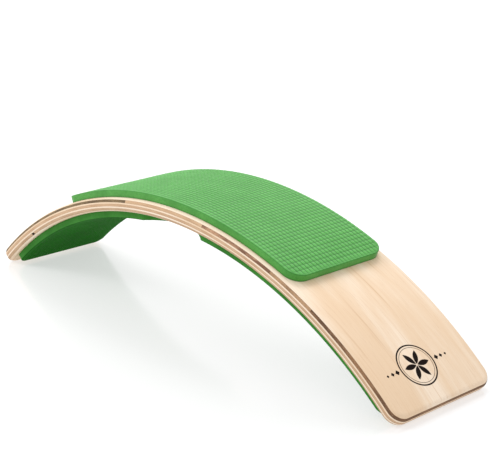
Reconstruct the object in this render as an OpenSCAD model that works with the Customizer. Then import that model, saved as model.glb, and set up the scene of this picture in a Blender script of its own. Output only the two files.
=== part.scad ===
/* [Board] */
// Width of the board, across the middle of its rounded long edges
board_w = 161; // [130:1:200]
// Radius of the arch, from its axis to the upper wood face
face_r = 547; // [480:1:640]
// Angle from the crown of the arch to either end, at the middle of its thickness
half_angle = 43.6; // [38:0.1:48]
// Radius of the board's four corners, seen from above
board_corner_r = 18; // [12:1:30]
// Radius that the upper and lower edges are rounded over to, all the way round the board
edge_round_r = 7; // [2:0.5:8.5]

/* [Plies] */
// Thickness of each of the four plies whose grain runs along the board
long_ply_t = 2; // [1.6:0.1:3]
// Thickness of each of the three plies whose grain runs across the board
cross_ply_t = 3.3; // [2:0.1:4]
// Open gap where two strips of one cross ply meet
butt_gap = 0.4; // [0.2:0.1:1]
// Wider gap in the lower cross ply, seen as a small void in the edge
void_gap = 5.5; // [1:0.5:8]

/* [Joints between cross ply strips, measured along the upper wood face from the crown] */
// Upper cross ply: left strip to crown strip
upper_joint_a = -80; // [-120:1:-60]
// Upper cross ply: crown strip to the first strip on the right
upper_joint_b = 68; // [40:1:90]
// Upper cross ply: first strip to second strip on the right
upper_joint_c = 187; // [150:1:210]
// Upper cross ply: second strip on the right to the right end strip
upper_joint_d = 258; // [230:1:290]
// Lower cross ply: left end strip to main strip
lower_joint = -316; // [-335:1:-250]

/* [Foam pads] */
// Thickness of the foam of both pads
foam_t = 9.5; // [6:0.5:12]
// Length of the top pad along the arch, at the wood
top_pad_l = 440; // [300:1:560]
// Bare wood left along each long edge of the top pad
top_pad_margin = 7; // [7:0.5:16]
// Corner radius of the top pad
top_pad_corner_r = 20; // [8:1:30]
// Bare wood left beyond each end of the bottom pad
bottom_pad_end_margin = 18.5; // [14:0.5:30]
// Bare wood left along each long edge of the bottom pad
bottom_pad_margin = 9; // [7:0.5:16]
// Corner radius of the bottom pad
bottom_pad_corner_r = 13; // [8:1:30]

/* [Finger notches in the bottom pad] */
// Length of each notch, along the edge of the pad
notch_l = 112; // [80:1:140]
// Depth of each notch at its middle
notch_depth = 18.5; // [10:0.5:24]

/* [Adhesive films] */
// Thickness of the film that holds each pad to the wood
film_t = 0.3; // [0.2:0.1:0.5]
// Distance that the film stops short of the pad's outline
film_inset = 1.5; // [0.5:0.5:4]

/* [Hidden] */
$fn = 96;

// Radii of the wood's faces and of the glued joints between plies, from the top down
ply_pair_t = long_ply_t + cross_ply_t;
upper_cross_r = face_r - long_ply_t;
upper_core_r = face_r - ply_pair_t;
middle_cross_r = upper_core_r - long_ply_t;
lower_core_r = face_r - 2 * ply_pair_t;
lower_cross_r = lower_core_r - long_ply_t;
bottom_face_r = face_r - 3 * ply_pair_t;
under_r = bottom_face_r - long_ply_t;

mid_r = (face_r + under_r) / 2;

// The circles of the board's roundings and of the pads' corners reach this far past the faces that
// they join, so that they cross them: the board curves away from its rounded ends by up to 0.1 mm
round_overlap = 0.15;
corner_overlap = 0.05;
round_centre = edge_round_r - round_overlap;

// Angle from the crown to the centres of the board's corners
corner_angle = half_angle - along(board_corner_r, mid_r);

// Angle to the end of the sheet that a ply is cut from
sheet_angle = half_angle + 1;

// The arch stands on the lower roundings of its two ends, so its axis lies this far below them
axis_depth = (under_r + round_centre) * cos(corner_angle)
    - (board_corner_r - round_centre) * sin(corner_angle) - edge_round_r;

// Outlines of the pads
top_pad_angle = along(top_pad_l / 2);
top_pad_w = board_w - 2 * top_pad_margin;
bottom_pad_angle = half_angle - along(bottom_pad_end_margin, under_r);
bottom_pad_w = board_w - 2 * bottom_pad_margin;
notch_r = (pow(notch_l / 2, 2) + pow(notch_depth, 2)) / (2 * notch_depth);

// Room that a cutter leaves round what it cuts
spare = 4;

// Angle from the crown to a point, given its distance along a face of radius r
function along(distance, r = face_r) = distance / r * 180 / PI;

// A curved sheet between two radii and two angles, with its axis along Y
module sheet(inner_r, outer_r, from_angle, to_angle, w) {
    rotate([90, 0, 0])
        rotate_extrude(angle = to_angle - from_angle, start = 90 - to_angle, $fn = 360)
            translate([inner_r, -w / 2])
                square([outer_r - inner_r, w]);
}

// What is cut off both corners of a pad's end whose face is at X = 0, with the arch's axis at Z = 0
module corner_waste(inner_r, outer_r, w, corner_r) {
    centre = corner_r - corner_overlap;
    for (side = [-1, 1])
        difference() {
            translate([-centre, side * w / 2 - (side > 0 ? centre : spare), inner_r - spare])
                cube([centre + spare, centre + spare, outer_r - inner_r + 2 * spare]);
            translate([-centre, side * (w / 2 - centre), inner_r - 2 * spare])
                cylinder(r = corner_r, h = outer_r - inner_r + 4 * spare);
        }
}

// Rounds the four corners of a sheet that ends at plus and minus end_angle
module round_corners(inner_r, outer_r, end_angle, w, corner_r) {
    difference() {
        children();
        for (turn = [0, 180])
            rotate([0, 0, turn])
                rotate([0, end_angle, 0])
                    corner_waste(inner_r, outer_r, w, corner_r);
    }
}

// A curved sheet with rounded corners, centred on the crown
module rounded_sheet(inner_r, outer_r, end_angle, w, corner_r) {
    round_corners(inner_r, outer_r, end_angle, w, corner_r)
        sheet(inner_r, outer_r, -end_angle, end_angle, w);
}

// What rounds over one corner of a section, with the section's own corner at the origin and its
// inside towards negative X and Y
module round_cut() {
    translate([-round_centre, -round_centre])
        difference() {
            square(round_centre + spare);
            circle(r = edge_round_r);
        }
}

// round_cut for the upper and lower corners at one side of the board's section, X being the radius
module both_round_cuts(side) {
    mirror([0, side > 0 ? 0 : 1])
        translate([0, board_w / 2]) {
            translate([face_r, 0])
                round_cut();
            translate([under_r, 0])
                mirror([1, 0])
                    round_cut();
        }
}

// A curved layer of the board with the board's rounded long edges
module layer(inner_r, outer_r, from_angle, to_angle) {
    rotate([90, 0, 0])
        rotate_extrude(angle = to_angle - from_angle, start = 90 - to_angle, $fn = 360)
            difference() {
                translate([inner_r, -board_w / 2])
                    square([outer_r - inner_r, board_w]);
                for (side = [-1, 1])
                    both_round_cuts(side);
            }
}

// Section of what is cut off an end, X outwards from the corners' centres and Y the radius
module end_cut_section() {
    reach = board_corner_r + spare;
    translate([board_corner_r, under_r - spare])
        square([reach, face_r - under_r + 2 * spare]);
    translate([board_corner_r, face_r])
        round_cut();
    translate([board_corner_r, under_r])
        mirror([0, 1])
            round_cut();
}

// What rounds an end and its two corners, with the arch's axis at Z = 0 and the end towards +X
module end_waste() {
    corner_y = board_w / 2 - board_corner_r + corner_overlap;
    rotate([90, 0, 0])
        linear_extrude(height = 2 * corner_y, center = true)
            end_cut_section();
    for (side = [-1, 1])
        translate([0, side * corner_y, 0])
            rotate_extrude(angle = 90, start = side > 0 ? 0 : -90)
                end_cut_section();
}

// A ply, or a strip of one, between two angles: it follows the board's outline and its roundings
module ply_strip(inner_r, outer_r, from_angle, to_angle) {
    translate([0, 0, -axis_depth])
        difference() {
            layer(inner_r, outer_r, from_angle, to_angle);
            if (to_angle > half_angle)
                rotate([0, corner_angle, 0])
                    end_waste();
            if (from_angle < -half_angle)
                rotate([0, 0, 180])
                    rotate([0, corner_angle, 0])
                        end_waste();
        }
}

// One full ply of the board
module full_ply(inner_r, outer_r) {
    ply_strip(inner_r, outer_r, -sheet_angle, sheet_angle);
}

module upper_strip(from_angle, to_angle) {
    ply_strip(upper_core_r, upper_cross_r, from_angle, to_angle);
}

// The bottom pad's outline between two radii, drawn in from the edge by inset
module bottom_pad_sheet(inner_r, outer_r, inset) {
    w = bottom_pad_w - 2 * inset;
    end_angle = bottom_pad_angle - along(inset, under_r);
    translate([0, 0, -axis_depth])
        difference() {
            rounded_sheet(inner_r, outer_r, end_angle, w, bottom_pad_corner_r - inset);
            for (side = [-1, 1])
                translate([0, side * (bottom_pad_w / 2 + notch_r - notch_depth), 0])
                    cylinder(r = notch_r + inset, h = face_r, $fn = 180);
        }
}

module top_face_ply() {
    color("#f3dfbd")
        full_ply(upper_cross_r, face_r);
}

module upper_crossband_left() {
    color("#6b5036")
        upper_strip(-sheet_angle, along(upper_joint_a - butt_gap / 2));
}

module upper_crossband_crown() {
    color("#d9b391")
        upper_strip(along(upper_joint_a + butt_gap / 2), along(upper_joint_b - butt_gap / 2));
}

module upper_crossband_right_inner() {
    color("#a9805e")
        upper_strip(along(upper_joint_b + butt_gap / 2), along(upper_joint_c - butt_gap / 2));
}

module upper_crossband_right_middle() {
    color("#b39472")
        upper_strip(along(upper_joint_c + butt_gap / 2), along(upper_joint_d - butt_gap / 2));
}

module upper_crossband_right_end() {
    color("#7d5b3d")
        upper_strip(along(upper_joint_d + butt_gap / 2), sheet_angle);
}

module upper_core_ply() {
    color("#f2d9b6")
        full_ply(middle_cross_r, upper_core_r);
}

module middle_crossband() {
    color("#dcb998")
        full_ply(lower_core_r, middle_cross_r);
}

module lower_core_ply() {
    color("#f2d9b6")
        full_ply(lower_cross_r, lower_core_r);
}

module lower_crossband_left_end() {
    color("#d6b391")
        ply_strip(bottom_face_r, lower_cross_r, -sheet_angle, along(lower_joint - void_gap / 2));
}

module lower_crossband_main() {
    color("#dcb998")
        ply_strip(bottom_face_r, lower_cross_r, along(lower_joint + void_gap / 2), sheet_angle);
}

module bottom_face_ply() {
    color("#f3dfbd")
        full_ply(under_r, bottom_face_r);
}

module top_pad() {
    color("#5cb85a")
        translate([0, 0, -axis_depth])
            rounded_sheet(face_r + film_t, face_r + film_t + foam_t, top_pad_angle, top_pad_w,
                top_pad_corner_r);
}

module top_pad_adhesive() {
    color("#e9e6da")
        translate([0, 0, -axis_depth])
            rounded_sheet(face_r, face_r + film_t, top_pad_angle - along(film_inset),
                top_pad_w - 2 * film_inset, top_pad_corner_r - film_inset);
}

module bottom_pad() {
    color("#3f9a3e")
        bottom_pad_sheet(under_r - film_t - foam_t, under_r - film_t, 0);
}

module bottom_pad_adhesive() {
    color("#e9e6da")
        bottom_pad_sheet(under_r - film_t, under_r, film_inset);
}

top_face_ply();
upper_crossband_left();
upper_crossband_crown();
upper_crossband_right_inner();
upper_crossband_right_middle();
upper_crossband_right_end();
upper_core_ply();
middle_crossband();
lower_core_ply();
lower_crossband_left_end();
lower_crossband_main();
bottom_face_ply();
top_pad();
top_pad_adhesive();
bottom_pad();
bottom_pad_adhesive();
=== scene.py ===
import math

import bpy
import numpy as np
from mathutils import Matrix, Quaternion, Vector
from mathutils.geometry import delaunay_2d_cdt


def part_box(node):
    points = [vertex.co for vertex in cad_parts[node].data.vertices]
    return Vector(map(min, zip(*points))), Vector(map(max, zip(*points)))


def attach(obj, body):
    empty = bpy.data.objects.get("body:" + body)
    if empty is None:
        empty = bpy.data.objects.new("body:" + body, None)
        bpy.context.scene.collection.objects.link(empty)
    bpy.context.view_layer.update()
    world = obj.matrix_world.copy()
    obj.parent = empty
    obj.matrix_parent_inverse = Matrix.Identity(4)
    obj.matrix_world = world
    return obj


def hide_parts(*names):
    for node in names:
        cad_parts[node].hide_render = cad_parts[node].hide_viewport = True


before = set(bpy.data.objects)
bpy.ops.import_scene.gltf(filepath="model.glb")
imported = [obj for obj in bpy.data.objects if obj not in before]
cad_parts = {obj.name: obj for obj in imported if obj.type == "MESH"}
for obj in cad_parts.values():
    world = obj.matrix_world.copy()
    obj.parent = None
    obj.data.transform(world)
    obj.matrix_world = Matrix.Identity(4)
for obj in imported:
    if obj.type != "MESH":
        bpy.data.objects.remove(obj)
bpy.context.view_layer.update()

# ---------------------------------------------------------------- dimensions, in metres

MM = 0.001

# Radii of the corners and of the rounded edges, as in the CAD model
BOARD_CORNER = 18 * MM
EDGE_ROUND = 7 * MM
TOP_PAD_CORNER = 20 * MM
BOTTOM_PAD_CORNER = 13 * MM
NOTCH_LENGTH = 112 * MM
NOTCH_DEPTH = 18.5 * MM

# How far the foam's outer edges are eased, and how far its sides are drawn in between them
FOAM_EASE = 1.3 * MM
FOAM_WAIST = 0.12 * MM
# Distance from the outline over which the embossed cells reach their full depth
FADE = 5 * MM

# The embossed pattern of the foam: rows of raised cells that run across the board
ROW_PITCH = 6.9 * MM
CELL_PITCH = 5.5 * MM
CELL_HEIGHT = 1.0 * MM
# How square the cells' tops are, how high the grooves between rows stand over those between
# the cells of a row, the least height of a cell over them, and how much more the highest has
CELL_POWER = 2.6
LOW_GROOVE = 0.25
CELL_SHARE = 0.5
CELL_SWELL = 0.25
# The height that the embossing fades to near the outline, as a share of CELL_HEIGHT, and
# how much of the embossing is left along the outline of each pad
EVEN_HEIGHT = 0.6
TOP_EDGE_SHARE = 0.45
BOTTOM_EDGE_SHARE = 0.1
# Shares of a cell's pitch at which the pads' faces have their points, fine and coarse
FINE_PLACES = (0.0, 0.12, 0.26, 0.5, 0.74, 0.88)
COARSE_PLACES = (0.0, 0.15, 0.36, 0.64, 0.85)

# Longest step along the arch between two stations of a ply's mesh, the steps in the quarter
# turn of its corners, of its rounded edges and of a pad's corners, and those in a notch
WOOD_STEP = 4 * MM
CORNER_STEPS = 12
ROUND_STEPS = 12
PAD_CORNER_STEPS = 24
NOTCH_STEPS = 89
# The board's half length is this much more than the box of its middle ply gives, which
# brings its ends to within 0.2 mm of the floor
END_SPARE = 0.35 * MM
# Width of the band that the faces of a ply keep along their outline
RIM = 1 * MM
# Steps between the points on the glued faces of the pads, along the board and across it
BASE_STEP_S = 8 * MM
BASE_STEP_Y = 12 * MM
# Room between a pad's loops and the points that its embossed and its glued face have inside
INNER_MARGIN = 0.4 * MM
BASE_MARGIN = 2 * MM
# Room between the points of a notch and those of the straight sides next to it
NOTCH_MARGIN = 1.2 * MM

# The burned mark, on the upper face near the right end. MARK_SIDE is its middle's y.
MARK_FROM_END = 50 * MM
MARK_SIDE = -9 * MM
MARK_RADIUS = 25 * MM
MARK_SOFTNESS = 0.25 * MM
# Its rings: radius as a share of the mark's, and half the width of the line
MARK_RINGS = ((1.0, 0.9 * MM), (0.88, 0.3 * MM))
# Its petals: half their length, how far out their middles lie and half their width
PETALS = 6
PETAL_HALF = MARK_RADIUS * 0.36
PETAL_OUT = PETAL_HALF * 1.1
PETAL_WIDTH = PETAL_HALF * 0.36
# Its diamonds: distance beyond the ring and half the diagonal, outwards
DIAMONDS = ((6.5 * MM, 3.2 * MM), (14 * MM, 2.5 * MM), (21.5 * MM, 1.8 * MM))

# The wood from the top down, each layer with the nodes it is made of
LAYERS = [
    ["top_face_ply"],
    [
        "upper_crossband_crown",
        "upper_crossband_left",
        "upper_crossband_right_inner",
        "upper_crossband_right_middle",
        "upper_crossband_right_end",
    ],
    ["upper_core_ply"],
    ["middle_crossband"],
    ["lower_core_ply"],
    ["lower_crossband_main", "lower_crossband_left_end"],
    ["bottom_face_ply"],
]


# ---------------------------------------------------------------- the arch

def crown(node):
    """Height of a node's highest point, which is at the crown of the arch."""
    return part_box(node)[1][2]


def solve_arch():
    """Radius of the upper wood face and depth of the arch's axis, from the top pad's box."""
    low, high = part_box("top_pad")
    pad_t = high[2] - crown("top_pad_adhesive")
    half_angle = 0.0
    for _ in range(20):
        rise = high[2] - low[2] - pad_t * math.cos(half_angle)
        half_angle = 2 * math.atan(rise / high[0])
    axis_depth = high[0] / math.sin(half_angle) - high[2]
    return crown("top_face_ply") + axis_depth, axis_depth


FACE_R, AXIS_DEPTH = solve_arch()
UNDER_R = crown("bottom_pad_adhesive") + AXIS_DEPTH
MID_R = (FACE_R + UNDER_R) / 2
HALF_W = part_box("middle_crossband")[1][1]
MIDDLE_R = crown("middle_crossband") + AXIS_DEPTH
BOARD_END = MID_R * math.asin(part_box("middle_crossband")[1][0] / MIDDLE_R) + END_SPARE


def on_arch(flat, height, base_r):
    """Bends points (s along the arch at base_r, y across) at a height over base_r, in metres."""
    angle = flat[:, 0] / base_r
    r = base_r + height
    return np.stack([r * np.sin(angle), flat[:, 1], r * np.cos(angle) - AXIS_DEPTH], axis=1)


def new_piece(name, points, faces, flat_points, node_names, smooth_angle=35):
    """A mesh piece that stands for CAD nodes. flat_points are its points before bending,
    which the materials read as the attribute "board_point"."""
    mesh = bpy.data.meshes.new(name)
    mesh.from_pydata(points.tolist(), [], faces)
    mesh.validate()
    held = mesh.attributes.new("board_point", "FLOAT_VECTOR", "POINT")
    held.data.foreach_set("vector", np.asarray(flat_points, np.float32).ravel())
    mesh.shade_smooth()
    mesh.set_sharp_from_angle(angle=math.radians(smooth_angle))
    piece = bpy.data.objects.new(name, mesh)
    bpy.context.scene.collection.objects.link(piece)
    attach(piece, "root")
    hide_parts(*node_names)
    return piece


def bridge(loops):
    """Quads between loops of equal length, each a list of point numbers."""
    faces = []
    for lower, upper in zip(loops, loops[1:]):
        for i in range(len(lower)):
            j = (i + 1) % len(lower)
            faces.append((lower[i], lower[j], upper[j], upper[i]))
    return faces


# ---------------------------------------------------------------- wood

def half_outline(from_s, to_s, inset, rounded):
    """One long side of a ply from end to end as (s, y) with y > 0, drawn in by inset.
    rounded says whether the first and the last end have the board's round corners."""
    arc = np.linspace(0, math.pi / 2, CORNER_STEPS + 1)
    r = BOARD_CORNER - inset
    side = []
    if rounded[0]:
        side += [
            (from_s + BOARD_CORNER - r * math.cos(a), HALF_W - BOARD_CORNER + r * math.sin(a))
            for a in arc
        ]
    else:
        side.append((from_s, HALF_W - inset))
    start = from_s + (BOARD_CORNER if rounded[0] else 0)
    stop = to_s - (BOARD_CORNER if rounded[1] else 0)
    count = max(2, math.ceil((stop - start) / WOOD_STEP))
    side += [(s, HALF_W - inset) for s in np.linspace(start, stop, count + 1)[1:-1]]
    if rounded[1]:
        side += [
            (to_s - BOARD_CORNER + r * math.sin(a), HALF_W - BOARD_CORNER + r * math.cos(a))
            for a in arc
        ]
    else:
        side.append((to_s, HALF_W - inset))
    return np.array(side)


def cover(loop, half_count, upward):
    """Quads across the board that close a loop made of two mirrored long sides."""
    faces = []
    for i in range(half_count - 1):
        far_a, far_b = loop[half_count - 1 - i], loop[half_count - 2 - i]
        near_a, near_b = loop[half_count + i], loop[half_count + i + 1]
        quad = (near_a, near_b, far_b, far_a)
        faces.append(quad if upward else quad[::-1])
    return faces


def edge_inset(r):
    """How far the rounded edge lies inside the board's widest outline at radius r."""
    into_round = max(0.0, r - (FACE_R - EDGE_ROUND), UNDER_R + EDGE_ROUND - r)
    return EDGE_ROUND - math.sqrt(max(0.0, EDGE_ROUND ** 2 - into_round ** 2))


def round_levels():
    """Radii at which the rounded edges turn by one more step."""
    turns = [math.pi / 2 * k / ROUND_STEPS for k in range(ROUND_STEPS)]
    climbs = [EDGE_ROUND * (1 - math.sin(turn)) for turn in turns]
    return [FACE_R - c for c in climbs] + [UNDER_R + c for c in climbs]


def ply_piece(node, inner_r, outer_r):
    """A curved ply or strip of a ply, which follows the board's outline and rounded edge."""
    low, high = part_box(node)
    from_s = math.asin(low[0] / (outer_r if low[0] < 0 else inner_r)) * MID_R
    to_s = math.asin(high[0] / (outer_r if high[0] > 0 else inner_r)) * MID_R
    rounded = (from_s < BOARD_CORNER - BOARD_END, to_s > BOARD_END - BOARD_CORNER)
    from_s = -BOARD_END if rounded[0] else from_s
    to_s = BOARD_END if rounded[1] else to_s
    apart = 0.1 * MM
    between = [r for r in round_levels() if inner_r + apart < r < outer_r - apart]
    levels = [(r, edge_inset(r)) for r in sorted(between + [inner_r, outer_r])]
    levels = [(inner_r, levels[0][1] + RIM)] + levels + [(outer_r, levels[-1][1] + RIM)]
    flat, points, loops = [], [], []
    for r, inset in levels:
        side = half_outline(from_s, to_s, inset, rounded)
        loop = np.concatenate([side[::-1], side * (1, -1)])
        loops.append(list(range(len(points), len(points) + len(loop))))
        angle = loop[:, 0] / MID_R
        points += np.stack(
            [r * np.sin(angle), loop[:, 1], r * np.cos(angle) - AXIS_DEPTH], axis=1).tolist()
        flat += [(s, y, r - UNDER_R) for s, y in loop]
    faces = bridge(loops)
    faces += cover(loops[0], len(side), upward=False)
    faces += cover(loops[-1], len(side), upward=True)
    return new_piece(node + "_wood", np.array(points), faces, flat, [node])


# ---------------------------------------------------------------- foam

def lattice(pitch, fractions, reach):
    """Places from -reach to reach at fractions of each period, with a cell centred on 0."""
    periods = math.ceil(reach / pitch) + 1
    places = [
        (k - 0.5 + f) * pitch
        for k in range(-periods, periods + 1)
        for f in fractions
    ]
    return np.array([p for p in places if abs(p) < reach])


def dome(place, pitch):
    """Height of a row of cells, from 0 in the grooves to 1 over most of a cell."""
    u = np.mod(place / pitch + 0.5, 1.0)
    return 1 - np.abs(2 * u - 1) ** CELL_POWER


def scatter(row, column):
    """A number from 0 to 1 for each cell that looks random and is always the same."""
    return np.mod(np.sin(12.9898 * row + 78.233 * column) * 43758.5453, 1.0)


def emboss(flat):
    """Height of the foam's cells over their grooves, from 0 to 1, with no two cells alike."""
    row = np.floor(flat[:, 0] / ROW_PITCH + 0.5)
    column = np.floor(flat[:, 1] / CELL_PITCH + 0.5)
    cell = dome(flat[:, 0], ROW_PITCH) * dome(flat[:, 1], CELL_PITCH)
    groove = LOW_GROOVE * dome(flat[:, 1], CELL_PITCH)
    return groove + cell * (CELL_SHARE + CELL_SWELL * scatter(row, column))


class PadOutline:
    """A pad's outline before it is bent: a rounded rectangle, with or without notches."""

    def __init__(self, half_s, half_y, corner, fractions, notched):
        self.half_s, self.half_y, self.corner = half_s, half_y, corner
        self.notched = notched
        self.notch_r = (NOTCH_LENGTH ** 2 / 4 + NOTCH_DEPTH ** 2) / (2 * NOTCH_DEPTH)
        self.notch_y = half_y + self.notch_r - NOTCH_DEPTH
        self.side_s = lattice(ROW_PITCH, fractions, half_s - corner)
        self.end_y = lattice(CELL_PITCH, fractions, half_y - corner)
        self.lattice_s = lattice(ROW_PITCH, fractions, half_s)
        self.lattice_y = lattice(CELL_PITCH, fractions, half_y)

    def long_side(self, inset):
        """The long side at y > 0 between its corners, as (s, y) from right to left."""
        y = self.half_y - inset
        side = [(s, y) for s in self.side_s[::-1]]
        if self.notched:
            r = self.notch_r + inset
            reach = math.asin(math.sqrt(r ** 2 - (self.notch_y - y) ** 2) / r)
            clear = NOTCH_LENGTH / 2 + NOTCH_MARGIN
            arc = [
                (r * math.sin(a), self.notch_y - r * math.cos(a))
                for a in np.linspace(reach, -reach, NOTCH_STEPS + 1)
            ]
            side = [p for p in side if p[0] > clear] + arc + [p for p in side if p[0] < -clear]
        return side

    def corner_arc(self, inset, sign_s, sign_y):
        """The round corner in the quarter that the signs of s and y name, anticlockwise."""
        r = self.corner - inset
        arc = [
            (
                sign_s * (self.half_s - self.corner + r * math.cos(a)),
                sign_y * (self.half_y - self.corner + r * math.sin(a)),
            )
            for a in np.linspace(0, math.pi / 2, PAD_CORNER_STEPS + 1)
        ]
        return arc if sign_s == sign_y else arc[::-1]

    def loop(self, inset):
        """The whole outline drawn in by inset, anticlockwise, as (s, y)."""
        upper = self.long_side(inset)
        lower = [(-s, -y) for s, y in upper]
        right = [(self.half_s - inset, y) for y in self.end_y]
        left = [(inset - self.half_s, -y) for y in self.end_y]
        return np.array(
            right + self.corner_arc(inset, 1, 1) + upper + self.corner_arc(inset, -1, 1)
            + left + self.corner_arc(inset, -1, -1) + lower + self.corner_arc(inset, 1, -1)
        )

    def depth(self, flat):
        """Distance from points inside to the outline."""
        q = np.abs(flat) - (self.half_s - self.corner, self.half_y - self.corner)
        inside = self.corner - np.hypot(*np.maximum(q, 0).T) - np.minimum(q.max(axis=1), 0)
        if not self.notched:
            return inside
        to_notch = np.hypot(flat[:, 0], self.notch_y - np.abs(flat[:, 1])) - self.notch_r
        return np.minimum(inside, to_notch)

    def inner_points(self, s_places, y_places, margin):
        """Points of a grid that lie deeper inside the outline than margin."""
        grid = np.stack(np.meshgrid(s_places, y_places), axis=-1).reshape(-1, 2)
        return grid[self.depth(grid) > margin]


def fill(loop, inner):
    """Triangles that fill a loop through inner points: faces number the loop's points first."""
    places = [Vector(p) for p in np.concatenate([loop, inner]).tolist()]
    edges = [(i, (i + 1) % len(loop)) for i in range(len(loop))]
    _, _, faces, originals, _, _ = delaunay_2d_cdt(places, edges, [], 1, 1e-7)
    number = [o[0] for o in originals]
    return [tuple(number[i] for i in f) for f in faces]


class PadMesh:
    """A pad's points before bending: (s, y), and the height over the glued face."""

    def __init__(self):
        self.flat = []
        self.height = []
        self.count = 0

    def add(self, flat, height):
        """Adds points at one height, or at a height each, and returns their numbers."""
        self.flat.append(flat)
        self.height.append(np.broadcast_to(height, len(flat)))
        self.count += len(flat)
        return list(range(self.count - len(flat), self.count))


def embossed(flat, into_pad, thickness, edge_share):
    """Height of the embossed face, whose cells fade towards the outline to edge_share."""
    share = edge_share + (1 - edge_share) * np.clip(into_pad / FADE, 0, 1)
    swing = (emboss(flat) - EVEN_HEIGHT) * share
    return thickness - CELL_HEIGHT * (1 - EVEN_HEIGHT - swing)


def pad_sides(mesh, outline, thickness, edge_share):
    """The loops of a pad's sides, from the glued face up over the eased edge, and the last
    one's points."""
    edge = outline.loop(0.0)
    waist = outline.loop(FOAM_WAIST)
    side_t = thickness - FOAM_EASE - CELL_HEIGHT
    loops = [mesh.add(edge, 0.0)]
    loops += [mesh.add(waist, side_t * share) for share in (0.3, 0.7)]
    for turn in np.radians((0, 30, 60, 90)):
        ring = outline.loop(FOAM_EASE * (1 - math.cos(turn)))
        drop = FOAM_EASE * (1 - math.sin(turn))
        loops.append(mesh.add(ring, embossed(ring, 0.0, thickness, edge_share) - drop))
    return loops, ring


def pad_face(mesh, loop, loop_points, inner, height):
    """Faces that close a loop through inner points, which are added at height."""
    numbers = loop + mesh.add(inner, height)
    return [tuple(numbers[i] for i in face) for face in fill(loop_points, inner)]


def foam_piece(name, node, base_r, thickness, outline, upward, edge_share):
    """A foam pad with its embossed face away from the wood, and edges a little rounded.
    edge_share says how much of the embossing is left along the outline."""
    mesh = PadMesh()
    loops, ring = pad_sides(mesh, outline, thickness, edge_share)
    inner = outline.inner_points(outline.lattice_s, outline.lattice_y, FOAM_EASE + INNER_MARGIN)
    into_pad = outline.depth(inner) - FOAM_EASE
    crests = embossed(inner, into_pad, thickness, edge_share)
    coarse_s = np.arange(-outline.half_s, outline.half_s, BASE_STEP_S)
    coarse_y = np.arange(-outline.half_y, outline.half_y, BASE_STEP_Y)
    under = outline.inner_points(coarse_s, coarse_y, BASE_MARGIN)

    faces = bridge(loops)
    faces += pad_face(mesh, loops[-1], ring, inner, crests)
    glued = pad_face(mesh, loops[0], outline.loop(0.0), under, 0.0)
    faces += [face[::-1] for face in glued]
    if not upward:
        faces = [face[::-1] for face in faces]

    flat = np.concatenate(mesh.flat)
    height = np.concatenate(mesh.height)
    points = on_arch(flat, height if upward else -height, base_r)
    rest = np.column_stack([flat, height])
    piece = new_piece(name, points, faces, rest, [node], smooth_angle=60)
    return piece


# ---------------------------------------------------------------- materials

def linear(red, green, blue):
    """An sRGB colour of 0 to 255 as a linear RGBA one."""
    def channel(c):
        c /= 255
        return c / 12.92 if c <= 0.04045 else ((c + 0.055) / 1.055) ** 2.4
    return (channel(red), channel(green), channel(blue), 1.0)


CREAM = linear(242, 223, 201)
WARM_CREAM = linear(231, 203, 172)
FINE_LINE = linear(208, 166, 122)
STREAK = linear(196, 154, 110)
PORE = linear(176, 134, 94)
CHARRED = linear(22, 11, 7)
RAY = linear(216, 184, 150)
GLUE_LINE = linear(96, 64, 40)
# Painted shadow of the gap between the lower cross ply's strips
VOID_SHADOW = linear(44, 30, 18)
# Painted shade along the foot of the foam's sides, where they meet the wood
FOAM_POCK = linear(46, 126, 32)
FOAM_FOOT_SHADE = linear(44, 112, 26)
MILKY = linear(236, 232, 220)
MILKY_BUBBLE = linear(222, 214, 196)
# Each cross-grain strip's light and dark tones, and how mottled it is
STRIP_TONES = {
    "upper_crossband_crown": (linear(204, 170, 134), linear(176, 136, 100), 0.5),
    "upper_crossband_left": (linear(136, 112, 74), linear(84, 64, 36), 0.8),
    "upper_crossband_right_inner": (linear(190, 146, 112), linear(108, 70, 46), 0.9),
    "upper_crossband_right_middle": (linear(184, 146, 108), linear(108, 76, 48), 0.9),
    "upper_crossband_right_end": (linear(150, 110, 74), linear(88, 58, 32), 0.9),
    "middle_crossband": (linear(206, 172, 138), linear(178, 138, 102), 0.5),
    "lower_crossband_main": (linear(204, 172, 138), linear(176, 138, 104), 0.5),
    "lower_crossband_left_end": (linear(198, 166, 132), linear(172, 134, 100), 0.5),
}
# Each foam's colours: two tones and the specks of its sides, the same of its crests, the painted
# shade of its grooves (also used for its random pocks), then its sheen and specular level
TOP_FOAM = {
    "side_colours": (linear(76, 157, 60), linear(58, 137, 42), linear(108, 188, 92)),
    "crest_colours": (linear(84, 170, 72), linear(75, 161, 63), linear(122, 206, 114)),
    "groove_shade_and_pock_colour": linear(34, 112, 25),
    "sheen": 0.18,
    "specular": 0.4,
}
# The bottom pad is the same foam. Its colours here are darker than its real ones, to allow
# for the deep shade that it lies in under the arch. Its true colours are those of TOP_FOAM.
BOTTOM_FOAM = {
    "side_colours": (linear(66, 134, 56), linear(50, 114, 42), linear(86, 158, 74)),
    "crest_colours": (linear(20, 108, 4), linear(16, 100, 2), linear(32, 122, 14)),
    "groove_shade_and_pock_colour": linear(8, 74, 1),
    "sheen": 0.0,
    "specular": 0.05,
}


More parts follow.
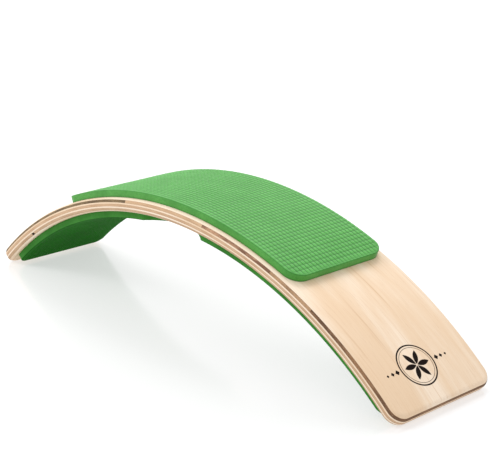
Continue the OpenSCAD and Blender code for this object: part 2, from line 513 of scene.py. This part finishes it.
class Tree:
    """A material's node tree, with short calls for the nodes used here."""

    def __init__(self, name):
        self.material = bpy.data.materials.new(name)
        self.material.use_nodes = True
        self.nodes = self.material.node_tree.nodes
        self.links = self.material.node_tree.links
        self.shader = self.nodes["Principled BSDF"]
        self.point = self.node("ShaderNodeAttribute", attribute_name="board_point").outputs["Vector"]

    def node(self, kind, **settings):
        made = self.nodes.new(kind)
        for key, value in settings.items():
            setattr(made, key, value)
        return made

    def feed(self, socket, value):
        if isinstance(value, bpy.types.NodeSocket):
            self.links.new(value, socket)
        else:
            socket.default_value = value

    def math(self, operation, a, b=0.0, c=0.0):
        made = self.node("ShaderNodeMath", operation=operation)
        for socket, value in zip(made.inputs, (a, b, c)):
            self.feed(socket, value)
        return made.outputs[0]

    def ramp(self, value, low, high, out_low=0.0, out_high=1.0):
        """Smoothly maps value from low..high to out_low..out_high."""
        made = self.node("ShaderNodeMapRange", interpolation_type="SMOOTHSTEP")
        for socket, v in zip(made.inputs, (value, low, high, out_low, out_high)):
            self.feed(socket, v)
        return made.outputs[0]

    def split(self, vector):
        made = self.node("ShaderNodeSeparateXYZ")
        self.feed(made.inputs[0], vector)
        return made.outputs

    def scaled(self, scale, offset=(0, 0, 0)):
        """The board's own coordinates, times scale, in cycles per metre."""
        made = self.node("ShaderNodeMapping")
        self.feed(made.inputs["Vector"], self.point)
        made.inputs["Scale"].default_value = scale
        made.inputs["Location"].default_value = offset
        return made.outputs[0]

    def noise(self, scale, offset=(0, 0, 0), detail=2.0, roughness=0.5, distortion=0.0):
        made = self.node("ShaderNodeTexNoise")
        self.feed(made.inputs["Vector"], self.scaled(scale, offset))
        made.inputs["Scale"].default_value = 1.0
        made.inputs["Detail"].default_value = detail
        made.inputs["Roughness"].default_value = roughness
        made.inputs["Distortion"].default_value = distortion
        return made.outputs["Fac"]

    def mix(self, share, a, b):
        """Colour a where share is 0 and b where it is 1."""
        made = self.node("ShaderNodeMix", data_type="RGBA")
        self.feed(made.inputs["Factor"], share)
        self.feed(made.inputs["A"], a)
        self.feed(made.inputs["B"], b)
        return made.outputs["Result"]

    def bump(self, height, distance, strength=1.0):
        made = self.node("ShaderNodeBump")
        made.inputs["Strength"].default_value = strength
        made.inputs["Distance"].default_value = distance
        self.feed(made.inputs["Height"], height)
        self.feed(self.shader.inputs["Normal"], made.outputs["Normal"])


def inside(tree, signed):
    """1 where a signed distance is negative, with a soft edge."""
    return tree.ramp(signed, -MARK_SOFTNESS, MARK_SOFTNESS, 1.0, 0.0)


def petals(tree, distance, turn):
    """1 inside a rosette of lens-shaped petals around the middle."""
    sector = 2 * math.pi / PETALS
    folded = tree.math("SUBTRACT", tree.math("FLOORED_MODULO", turn, sector), sector / 2)
    along = tree.math("MULTIPLY", distance, tree.math("COSINE", folded))
    aside = tree.math("ABSOLUTE", tree.math("MULTIPLY", distance, tree.math("SINE", folded)))
    from_middle = tree.math("DIVIDE", tree.math("SUBTRACT", along, PETAL_OUT), PETAL_HALF)
    width = tree.math("MULTIPLY_ADD", tree.math("MULTIPLY", from_middle, from_middle),
                      -PETAL_WIDTH, PETAL_WIDTH)
    return inside(tree, tree.math("SUBTRACT", aside, width))


def ring(tree, distance, radius, half_width):
    """1 along a circle."""
    gap = tree.math("ABSOLUTE", tree.math("SUBTRACT", distance, radius))
    return inside(tree, tree.math("SUBTRACT", gap, half_width))


def diamonds(tree, away_s, y, place, size):
    """1 inside two diamonds, at place on either side of the middle."""
    off_y = tree.math("ABSOLUTE", tree.math("SUBTRACT", tree.math("ABSOLUTE", y), place))
    taxi = tree.math("ADD", off_y, tree.math("ABSOLUTE", away_s))
    return inside(tree, tree.math("SUBTRACT", taxi, size))


def mark_mask(tree):
    """1 inside the burned mark: a six-petal rosette in a ring, between two rows of diamonds."""
    s, off_middle, _ = tree.split(tree.point)
    away_s = tree.math("SUBTRACT", s, BOARD_END - MARK_FROM_END)
    y = tree.math("SUBTRACT", off_middle, MARK_SIDE)
    square = tree.math("ADD", tree.math("MULTIPLY", away_s, away_s), tree.math("MULTIPLY", y, y))
    distance = tree.math("SQRT", square)
    parts = [ring(tree, distance, MARK_RADIUS * share, half) for share, half in MARK_RINGS]
    parts += [diamonds(tree, away_s, y, MARK_RADIUS + out, size) for out, size in DIAMONDS]
    mask = petals(tree, distance, tree.math("ARCTAN2", y, away_s))
    for part in parts:
        mask = tree.math("MAXIMUM", mask, part)
    return mask


def long_grain(name, pale, warm, seed, marked):
    """Veneer whose grain runs along the board: soft figure, fine lines and a few darker ones.
    The marked face is the least shiny, so that its burned mark stays dark."""
    tree = Tree(name)
    figure = tree.noise((3.5, 26, 26), (seed, 0, 0), detail=3, distortion=0.9)
    fine = tree.noise((16, 900, 900), (0, seed, 0), detail=3, roughness=0.6)
    streak = tree.noise((5, 170, 170), (seed, seed, 0), detail=2, distortion=0.3)
    pores = tree.noise((60, 2600, 2600), (0, 0, seed), detail=1)
    colour = tree.mix(tree.ramp(figure, 0.35, 0.66), pale, warm)
    colour = tree.mix(tree.ramp(fine, 0.45, 0.8, 0.0, 0.3), colour, FINE_LINE)
    colour = tree.mix(tree.ramp(streak, 0.58, 0.74, 0.0, 0.45), colour, STREAK)
    colour = tree.mix(tree.ramp(pores, 0.62, 0.8, 0.0, 0.3), colour, PORE)
    height = tree.math("MULTIPLY_ADD", fine, -0.6, tree.math("MULTIPLY", pores, -0.4))
    roughness = tree.ramp(figure, 0.3, 0.7, 0.42, 0.52)
    if marked:
        mask = mark_mask(tree)
        colour = tree.mix(mask, colour, CHARRED)
        height = tree.math("MULTIPLY_ADD", mask, -2.0, height)
        roughness = tree.math("MULTIPLY_ADD", mask, 0.45, roughness)
    tree.feed(tree.shader.inputs["Base Color"], colour)
    tree.feed(tree.shader.inputs["Roughness"], roughness)
    tree.shader.inputs["Specular IOR Level"].default_value = 0.14 if marked else 0.28
    tree.bump(height, 0.08 * MM, 0.6)
    return tree.material


def cross_grain(name, light, dark, seed, mottling, bottom, top, void):
    """Veneer whose grain runs across the board: end grain along the edge, darker at its glue lines.
    void is the place and the half length of a gap between two strips, around which the faces are
    darkened with painted shadow, or None."""
    tree = Tree(name)
    clouds = tree.noise((30, 10, 120), (seed, 0, 0), detail=3, roughness=0.6)
    cells = tree.noise((700, 60, 1500), (0, seed, 0), detail=2, roughness=0.6)
    rays = tree.noise((220, 14, 900), (0, 0, seed), detail=2)
    colour = tree.mix(tree.ramp(clouds, 0.38, 0.62, 0.0, mottling), light, dark)
    colour = tree.mix(tree.ramp(cells, 0.4, 0.75, 0.0, 0.6 * mottling), colour, dark)
    colour = tree.mix(tree.ramp(rays, 0.55, 0.8, 0.0, 0.3), colour, RAY)
    s, _, depth = tree.split(tree.point)
    to_edge = tree.math("MINIMUM", tree.math("SUBTRACT", depth, bottom),
                        tree.math("SUBTRACT", top, depth))
    glue = tree.ramp(to_edge, 0.05 * MM, 0.45 * MM, 0.55, 0.0)
    colour = tree.mix(glue, colour, GLUE_LINE)
    if void:
        middle, half = void
        off_void = tree.math("ABSOLUTE", tree.math("SUBTRACT", s, middle))
        # Painted shadow: faces next to the gap are darkened, for the shade inside it
        colour = tree.mix(tree.ramp(off_void, half, half + 0.9 * MM, 0.9, 0.0), colour,
                          VOID_SHADOW)
    tree.feed(tree.shader.inputs["Base Color"], colour)
    tree.shader.inputs["Roughness"].default_value = 0.68
    tree.bump(tree.math("MULTIPLY_ADD", cells, -0.7, rays), 0.12 * MM, 0.7)
    return tree.material


def foam(name, foam_t, side_colours, crest_colours, groove_shade_and_pock_colour, sheen, specular):
    """Closed-cell foam: fine cells, a little cloudiness, and an embossed face of its own tone.
    Painted shade darkens the face towards the bottoms of its grooves, and the sides near the glued
    face next to the wood."""
    tree = Tree(name)
    cloud = tree.noise((28, 28, 28), detail=2)
    speck = tree.noise((1700, 1700, 1700), detail=3, roughness=0.7)
    cell = tree.node("ShaderNodeTexVoronoi")
    tree.feed(cell.inputs["Vector"], tree.scaled((1500, 1500, 1500)))
    cell.inputs["Scale"].default_value = 1.0
    speckled = tree.ramp(speck, 0.5, 0.8, 0.0, 0.5)
    side = tree.mix(tree.ramp(cloud, 0.3, 0.7), side_colours[0], side_colours[1])
    side = tree.mix(speckled, side, side_colours[2])
    pocks = tree.noise((430, 430, 430), detail=3, roughness=0.6)
    side = tree.mix(tree.ramp(pocks, 0.48, 0.68, 0.0, 0.55), side, FOAM_POCK)
    _, _, height = tree.split(tree.point)
    # Painted shade: the sides darken towards the glued face, next to the wood
    side = tree.mix(tree.ramp(height, 0.0, 2.6 * MM, 0.6, 0.0), side, FOAM_FOOT_SHADE)
    colour = tree.mix(tree.ramp(cloud, 0.3, 0.7), crest_colours[0], crest_colours[1])
    colour = tree.mix(speckled, colour, crest_colours[2])
    # Painted shade: the embossed face is darker towards the bottoms of its grooves, by its height
    crest = tree.ramp(height, foam_t - CELL_HEIGHT, foam_t - 0.25 * CELL_HEIGHT)
    face = tree.mix(crest, groove_shade_and_pock_colour, colour)
    face = tree.mix(tree.ramp(pocks, 0.5, 0.66, 0.0, 0.3), face, groove_shade_and_pock_colour)
    outer = tree.ramp(height, foam_t - 1.4 * CELL_HEIGHT, foam_t - CELL_HEIGHT)
    colour = tree.mix(outer, side, face)
    tree.feed(tree.shader.inputs["Base Color"], colour)
    tree.shader.inputs["Roughness"].default_value = 0.6
    tree.shader.inputs["Specular IOR Level"].default_value = specular
    tree.shader.inputs["Sheen Weight"].default_value = sheen
    tree.shader.inputs["Sheen Roughness"].default_value = 0.4
    pits = tree.math("MULTIPLY_ADD", cell.outputs["Distance"], 0.7, speck)
    tree.bump(pits, 0.12 * MM, 0.7)
    return tree.material


def film(name):
    """Double-sided adhesive film, milky with faint bubbles."""
    tree = Tree(name)
    bubbles = tree.noise((240, 240, 240), detail=2)
    colour = tree.mix(tree.ramp(bubbles, 0.4, 0.7), MILKY, MILKY_BUBBLE)
    tree.feed(tree.shader.inputs["Base Color"], colour)
    tree.shader.inputs["Roughness"].default_value = 0.35
    return tree.material


# ---------------------------------------------------------------- the board

SEED_STEP = 3.7


def lower_void(inner_r, outer_r):
    """Middle and half length of the gap between the two strips of the lower cross ply."""
    left = math.asin(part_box("lower_crossband_left_end")[1][0] / inner_r) * MID_R
    right = math.asin(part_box("lower_crossband_main")[0][0] / outer_r) * MID_R
    return (left + right) / 2, (right - left) / 2


def build_wood():
    """All seven plies. The seed sets each veneer's figure apart from the others'."""
    tops = [crown(layer[0]) + AXIS_DEPTH for layer in LAYERS] + [UNDER_R]
    for number, layer in enumerate(LAYERS):
        outer_r, inner_r = tops[number], tops[number + 1]
        for node in layer:
            piece = ply_piece(node, inner_r, outer_r)
            seed = SEED_STEP * len(bpy.data.materials)
            if node in STRIP_TONES:
                light, dark, mottling = STRIP_TONES[node]
                void = lower_void(inner_r, outer_r) if node.startswith("lower") else None
                material = cross_grain(node, light, dark, seed, mottling,
                                       inner_r - UNDER_R, outer_r - UNDER_R, void)
            else:
                material = long_grain(node, CREAM, WARM_CREAM, seed, marked=number == 0)
            piece.data.materials.append(material)


def pad_outline(node, base_r, corner, fractions, notched):
    """A pad's outline at base_r, whose size comes from the CAD node's box."""
    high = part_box(node)[1]
    top_r = high[2] + AXIS_DEPTH
    half_s = math.asin(high[0] / top_r) * base_r
    return PadOutline(half_s, high[1], corner, fractions, notched)


def build_pads():
    """Both pads. Their glued faces are the top of the upper film and the top of the bottom
    pad."""
    foam_t = crown("top_pad") - crown("top_pad_adhesive")
    top_green = foam("green_foam", foam_t, **TOP_FOAM)
    # Painted shade: the bottom pad's material is darker than the real foam, for the shade under the
    # arch
    bottom_green = foam("shade_darkened_green_foam", foam_t, **BOTTOM_FOAM)
    base_r = crown("top_pad_adhesive") + AXIS_DEPTH
    outline = pad_outline("top_pad", base_r, TOP_PAD_CORNER, FINE_PLACES, notched=False)
    top = foam_piece("top_pad_foam", "top_pad", base_r, foam_t, outline, upward=True,
                     edge_share=TOP_EDGE_SHARE)
    top.data.materials.append(top_green)
    base_r = crown("bottom_pad") + AXIS_DEPTH
    outline = pad_outline("bottom_pad", base_r, BOTTOM_PAD_CORNER, COARSE_PLACES, notched=True)
    bottom = foam_piece("bottom_pad_foam", "bottom_pad", base_r, foam_t, outline, upward=False,
                        edge_share=BOTTOM_EDGE_SHARE)
    bottom.data.materials.append(bottom_green)


def dress_films():
    """Gives the two films, whose CAD solids stay, their material."""
    milky = film("adhesive_film")
    for node in ("top_pad_adhesive", "bottom_pad_adhesive"):
        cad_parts[node].data.materials.clear()
        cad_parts[node].data.materials.append(milky)


# ---------------------------------------------------------------- studio

FLOOR_HALF = 14.0
FLOOR_COLOUR = (0.38, 0.38, 0.385, 1)
FLOOR_ROUGHNESS = 0.16
# The floor gives off a little light, which keeps the shadow on it faint
FLOOR_GLOW = 0.575
WHITE = (1, 1, 1, 1)
WORLD_STRENGTH = 0.87
LAMP_TARGET = (0, 0, 0.1)
LAMP_SIDE = 0.9
# Each lamp's place and power in watts
LAMPS = {
    "key": ((-0.9, -1.3, 1.7), 17),
    "top": ((-0.6, 0.8, 1.8), 17),
}

CAMERA_AIM = (0.0, 0.056, 0.1008)
CAMERA_AZIMUTH = math.radians(47.675)
CAMERA_ELEVATION = math.radians(17.716)
CAMERA_DISTANCE = 1.6998
CAMERA_ROLL = math.radians(-0.337)
CAMERA_LENS = 96.36
CAMERA_SENSOR = 36


def build_floor():
    half = FLOOR_HALF
    mesh = bpy.data.meshes.new("studio_floor")
    mesh.from_pydata([(-half, -half, 0), (half, -half, 0), (half, half, 0), (-half, half, 0)],
                     [], [(0, 1, 2, 3)])
    floor = bpy.data.objects.new("studio_floor", mesh)
    bpy.context.scene.collection.objects.link(floor)
    tree = Tree("studio_floor")
    tree.shader.inputs["Base Color"].default_value = FLOOR_COLOUR
    tree.shader.inputs["Roughness"].default_value = FLOOR_ROUGHNESS
    tree.shader.inputs["Specular IOR Level"].default_value = 0.5
    tree.shader.inputs["Emission Color"].default_value = WHITE
    tree.shader.inputs["Emission Strength"].default_value = FLOOR_GLOW
    mesh.materials.append(tree.material)


def area_light(name, place, power):
    data = bpy.data.lights.new(name, "AREA")
    data.shape = "RECTANGLE"
    data.size = LAMP_SIDE
    data.size_y = LAMP_SIDE
    data.energy = power
    lamp = bpy.data.objects.new(name, data)
    lamp.location = place
    ray = Vector(LAMP_TARGET) - Vector(place)
    lamp.rotation_euler = ray.to_track_quat("-Z", "Y").to_euler()
    bpy.context.scene.collection.objects.link(lamp)


def build_light():
    """An even white world and two soft lamps."""
    world = bpy.data.worlds.new("studio")
    world.use_nodes = True
    background = world.node_tree.nodes["Background"]
    background.inputs["Color"].default_value = WHITE
    background.inputs["Strength"].default_value = WORLD_STRENGTH
    bpy.context.scene.world = world
    for name, (place, power) in LAMPS.items():
        area_light(name, place, power)


def build_camera():
    """The camera looks at CAMERA_AIM. Its azimuth is counted from -Y towards +X."""
    back = Vector((
        math.sin(CAMERA_AZIMUTH) * math.cos(CAMERA_ELEVATION),
        -math.cos(CAMERA_AZIMUTH) * math.cos(CAMERA_ELEVATION),
        math.sin(CAMERA_ELEVATION),
    ))
    data = bpy.data.cameras.new("camera")
    data.sensor_width = CAMERA_SENSOR
    data.lens = CAMERA_LENS
    camera = bpy.data.objects.new("camera", data)
    camera.location = Vector(CAMERA_AIM) + back * CAMERA_DISTANCE
    roll = Quaternion((0, 0, 1), CAMERA_ROLL)
    camera.rotation_mode = "QUATERNION"
    camera.rotation_quaternion = back.to_track_quat("Z", "Y") @ roll
    bpy.context.scene.collection.objects.link(camera)
    bpy.context.scene.camera = camera


build_camera()
build_wood()
build_pads()
dress_films()
build_floor()
build_light()
bpy.context.scene.view_settings.view_transform = "Standard"
